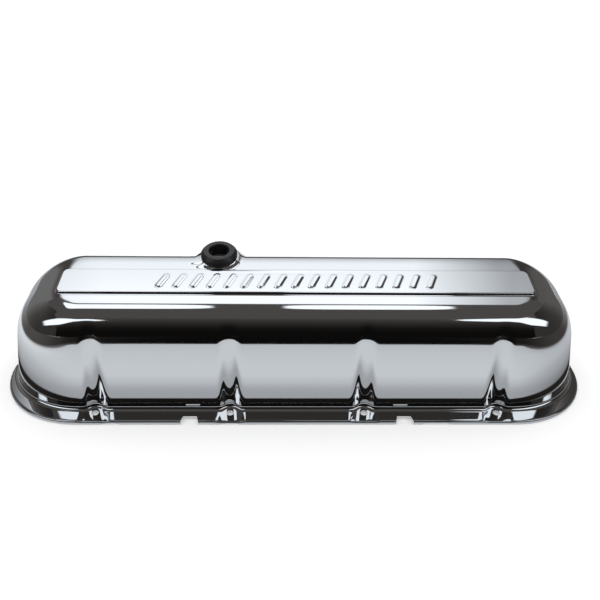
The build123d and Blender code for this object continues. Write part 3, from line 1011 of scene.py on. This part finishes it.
def glowing_mesh(name, points, faces, glow):
    """A stage mesh that only mirror reflections see, with its own light at each point."""
    light, tree = new_material(name + "_light")
    shade = add_node(tree, "ShaderNodeAttribute", attribute_name="glow")
    emit = add_node(tree, "ShaderNodeEmission", {"Color": shade.outputs["Color"], "Strength": 1.0})
    add_node(tree, "ShaderNodeOutputMaterial", {"Surface": emit.outputs["Emission"]})
    thing = mesh_object(name, points, faces, light)
    layer = thing.data.color_attributes.new("glow", "FLOAT_COLOR", "POINT")
    tint = between(np.array(WARM_TINT), np.array(COLD_TINT), smooth_step(glow, *TINT_CHANGE)[:, None])
    colour = np.concatenate([glow[:, None] * tint, np.ones((len(glow), 1))], 1)
    layer.data.foreach_set("color", colour.ravel())
    for ray in ("camera", "diffuse", "transmission", "volume_scatter", "shadow"):
        setattr(thing, "visible_" + ray, False)


def tent_place(turn, reach=1.0):
    """Y and Z on the tent, or a share of its radius out from its axis, at an angle in degrees."""
    angle = np.radians(turn)
    return (TENT_CENTRE[0] + TENT_RADIUS * reach * np.cos(angle),
            TENT_CENTRE[1] + TENT_RADIUS * reach * np.sin(angle))


x, rise = np.meshgrid(np.linspace(-TENT_HALF, TENT_HALF, 171), np.linspace(*TENT_ELEVATIONS, 393))
points = np.stack([x, *tent_place(rise)], -1)
glowing_mesh("light_tent", points.reshape(-1, 3), grid_faces(*x.shape), tent_glow(x, rise).ravel())

# The tent's ends: discs, whose cloth darkens upward as seen from the cover's middle height
COVER_MIDDLE = 60.0
WING_ON_END = (0.35, 0.5)
turn, reach = np.meshgrid(np.linspace(-90, 270, 361), np.linspace(0, 1, 41))
y, z = tent_place(turn, reach)
rise = np.degrees(np.arctan2(z - COVER_MIDDLE, np.hypot(y, TENT_HALF)))
for side, name in ((-1, "tent_left_end"), (1, "tent_right_end")):
    wing = wing_share(side * TENT_HALF, turn, side) * smooth_step(reach, *WING_ON_END)
    points = np.stack([np.full_like(y, side * TENT_HALF), y, z], -1)
    glow = end_glow(side, y, rise, wing)
    glowing_mesh(name, points.reshape(-1, 3), grid_faces(*y.shape), glow.ravel())

# Floor as mirrors see it, painted as glowing light with the cover's painted shadow in it: distances out from
# the flange, then the light level at each
# A light line at the lip, a dark band beside it that is the cover's painted shadow, then light paper, which
# ends in the dark in front; the low levels near the flange at the ends and the back are painted shade too
SIDE_DISTANCES = [0, 6, 8, 18, 22, 45, 80, 110, 170, 203, 240]
FLOOR_LEVELS_WITH_PAINTED_SHADOW = {
    "front": ([0, 4, 5, 18.5, 20.2, 32, 45, 60, 82, 117, 161, 203, 210, 217, 247],
              [175, 175, 18, 18, 155, 156, 163, 181, 196, 196, 191, 181, 20, 12, 10]),
    "left": (SIDE_DISTANCES, [170, 170, 30, 35, 130, 165, 185, 195, 210, 190, 70]),
    "right": (SIDE_DISTANCES, [160, 160, 30, 35, 115, 150, 168, 175, 175, 150, 55]),
    "back": ([0, 20, 60], [90, 150, 205]),
}
FLOOR_LIFT = 0.3
END_TURN = 1.5
near, middle, far = np.arange(0.2, 30, 0.8), np.arange(30, 200, 4), np.arange(200, 250, 1.5)
normal = plan_normals(flange_outline(0.0))
end_share = np.abs(normal[:, 0]) ** END_TURN
rings, glows = [], []
for distance in [*near, *middle, *far, 300, 700, 1700]:
    light = {name: grey(np.interp(distance, *levels)) for name, levels in FLOOR_LEVELS_WITH_PAINTED_SHADOW.items()}
    end = np.where(normal[:, 0] < 0, light["left"], light["right"])
    long_side = np.where(normal[:, 1] < 0, light["front"], light["back"])
    glows.append(end * end_share + long_side * (1 - end_share))
    rings.append(with_height(flange_outline(-distance), FLOOR_LIFT))
numbers = ring_numbers(rings)
faces = sum((ring_faces(first, second) for first, second in zip(numbers, numbers[1:])), [])
# A painted floor reflection just above the paper, glowing for mirror reflections only, with the cover's
# painted shadow in it
glowing_mesh("mirrored_floor_painted_shadow", np.concatenate(rings), faces, np.concatenate(glows))

# White paper floor, matt, a little lit from within so that it stays nearly white in the shade
FLOOR_HALF = 4000
paper, tree = new_material("white_paper")
shader = add_node(tree, "ShaderNodeBsdfPrincipled", {
    "Base Color": linear("#FFFFFF"), "Roughness": 0.9, "Emission Color": linear("#FFFFFF"),
    "Emission Strength": 0.15})
add_node(tree, "ShaderNodeOutputMaterial", {"Surface": shader.outputs["BSDF"]})
corners = [(x * FLOOR_HALF, y * FLOOR_HALF, 0) for x, y in ((-1, -1), (1, -1), (1, 1), (-1, 1))]
floor = mesh_object("floor", corners, [(0, 1, 2, 3)], paper)

# White world
world = bpy.data.worlds.new("studio")
bpy.context.scene.world = world
world.use_nodes = True
tree = world.node_tree
tree.nodes.clear()
shade = add_node(tree, "ShaderNodeBackground", {"Color": linear("#FFFFFF"), "Strength": 1.0})
add_node(tree, "ShaderNodeOutputWorld", {"Surface": shade.outputs["Background"]})
bpy.context.scene.view_settings.view_transform = "Standard"
